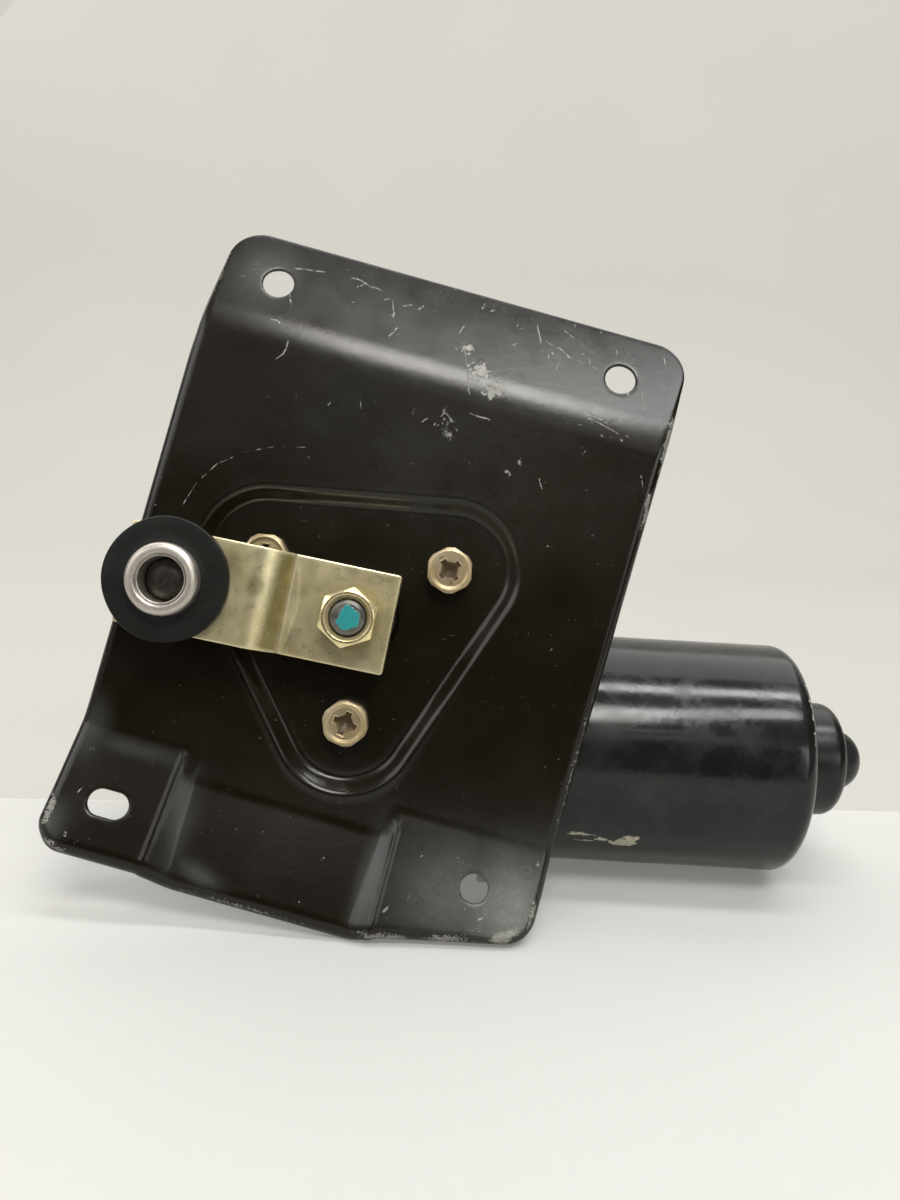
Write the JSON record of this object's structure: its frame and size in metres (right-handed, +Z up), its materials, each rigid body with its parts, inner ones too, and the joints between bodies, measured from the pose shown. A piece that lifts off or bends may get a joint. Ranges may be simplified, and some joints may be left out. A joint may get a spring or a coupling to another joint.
{
  "type": "wiper motor",
  "caption": "Wiper drive motor: geared electric motor behind a pressed-steel bracket, with a cranked arm and a bushed pin for the linkage rod.",
  "frame": {"origin": "centre of the bottom of the bounding box, on the surface it stands on", "axes": "+X along the armature axis towards the closed end of the motor can, +Y to the rear (gearbox side), +Z up"},
  "size_m": [0.213, 0.0936, 0.1648],
  "materials": {
    "black_paint": "gloss black paint, worn at the edges",
    "can_paint": "gloss black enamel with chips",
    "yellow_zinc": "yellow zinc passivated steel",
    "bright_steel": "ground steel",
    "dark_steel": "oiled steel",
    "cast_alloy": "die-cast alloy",
    "cover_steel": "black painted steel",
    "rubber": "black rubber",
    "gasket_paper": "gasket paper",
    "bronze": "sintered bronze",
    "acetal": "natural acetal",
    "phenolic": "phenolic laminate",
    "contact_brass": "brass strip",
    "ferrite": "ferrite",
    "copper_wire": "enamelled copper",
    "carbon": "carbon graphite",
    "core_steel": "laminated core steel"
  },
  "bodies": {
    "frame": {"mounting_plate": "black_paint", "gearbox_screws": "yellow_zinc", "gear_housing": "cast_alloy", "output_bush_front": "bronze", "output_bush_rear": "bronze", "shaft_seal": "rubber", "tip_bush": "bronze", "thrust_screw": "dark_steel", "thrust_locknut": "dark_steel", "cover_gasket": "gasket_paper", "gear_cover": "cover_steel", "inlet_grommet": "rubber", "cover_screws": "yellow_zinc", "park_contact_carrier": "phenolic", "park_contacts": "contact_brass", "motor_can": "can_paint", "can_screws": "dark_steel", "field_magnets": "ferrite", "magnet_clips": "dark_steel", "brush_plate": "phenolic", "brush_holders": "contact_brass", "carbon_brushes": "carbon", "brush_springs": "bright_steel", "bearing_outer_ring": "bright_steel", "bearing_balls": "bright_steel", "rear_bush": "bronze", "bush_retainer": "dark_steel", "thrust_ball": "bright_steel"},
    "output": {"worm_wheel": "acetal", "wheel_hub": "dark_steel", "wheel_thrust_washer": "bright_steel", "park_disc": "contact_brass", "output_shaft": "dark_steel", "output_thrust_washer": "bright_steel", "shaft_circlip": "dark_steel", "crank_arm": "yellow_zinc", "shaft_nut": "yellow_zinc", "crank_pin": "dark_steel"},
    "armature": {"armature_shaft": "bright_steel", "bearing_inner_ring": "bright_steel", "lamination_stack": "core_steel", "armature_windings": "copper_wire", "commutator_hub": "phenolic", "commutator_bars": "copper_wire"},
    "link": {"link_bush": "bright_steel", "rubber_washer": "rubber"}
  },
  "joints": [
    {"name": "output_spin", "type": "hinge", "parent": "frame", "child": "output", "pos_m": [-0.03533, -0.02081, 0.07406], "axis": [0, -0.9752, 0.2212], "continuous": true},
    {"name": "armature_spin", "type": "hinge", "parent": "frame", "child": "armature", "pos_m": [0.00967, 0.00872, 0.0325], "axis": [1, 0, 0], "continuous": true},
    {"name": "link_bush_spin", "type": "hinge", "parent": "output", "child": "link", "pos_m": [-0.07734, -0.031, 0.08297], "axis": [0, -0.9752, 0.2212], "continuous": true}
  ],
  "couplings": [
    {"joint": "armature_spin", "follows": "output_spin", "ratio": -48}
  ]
}
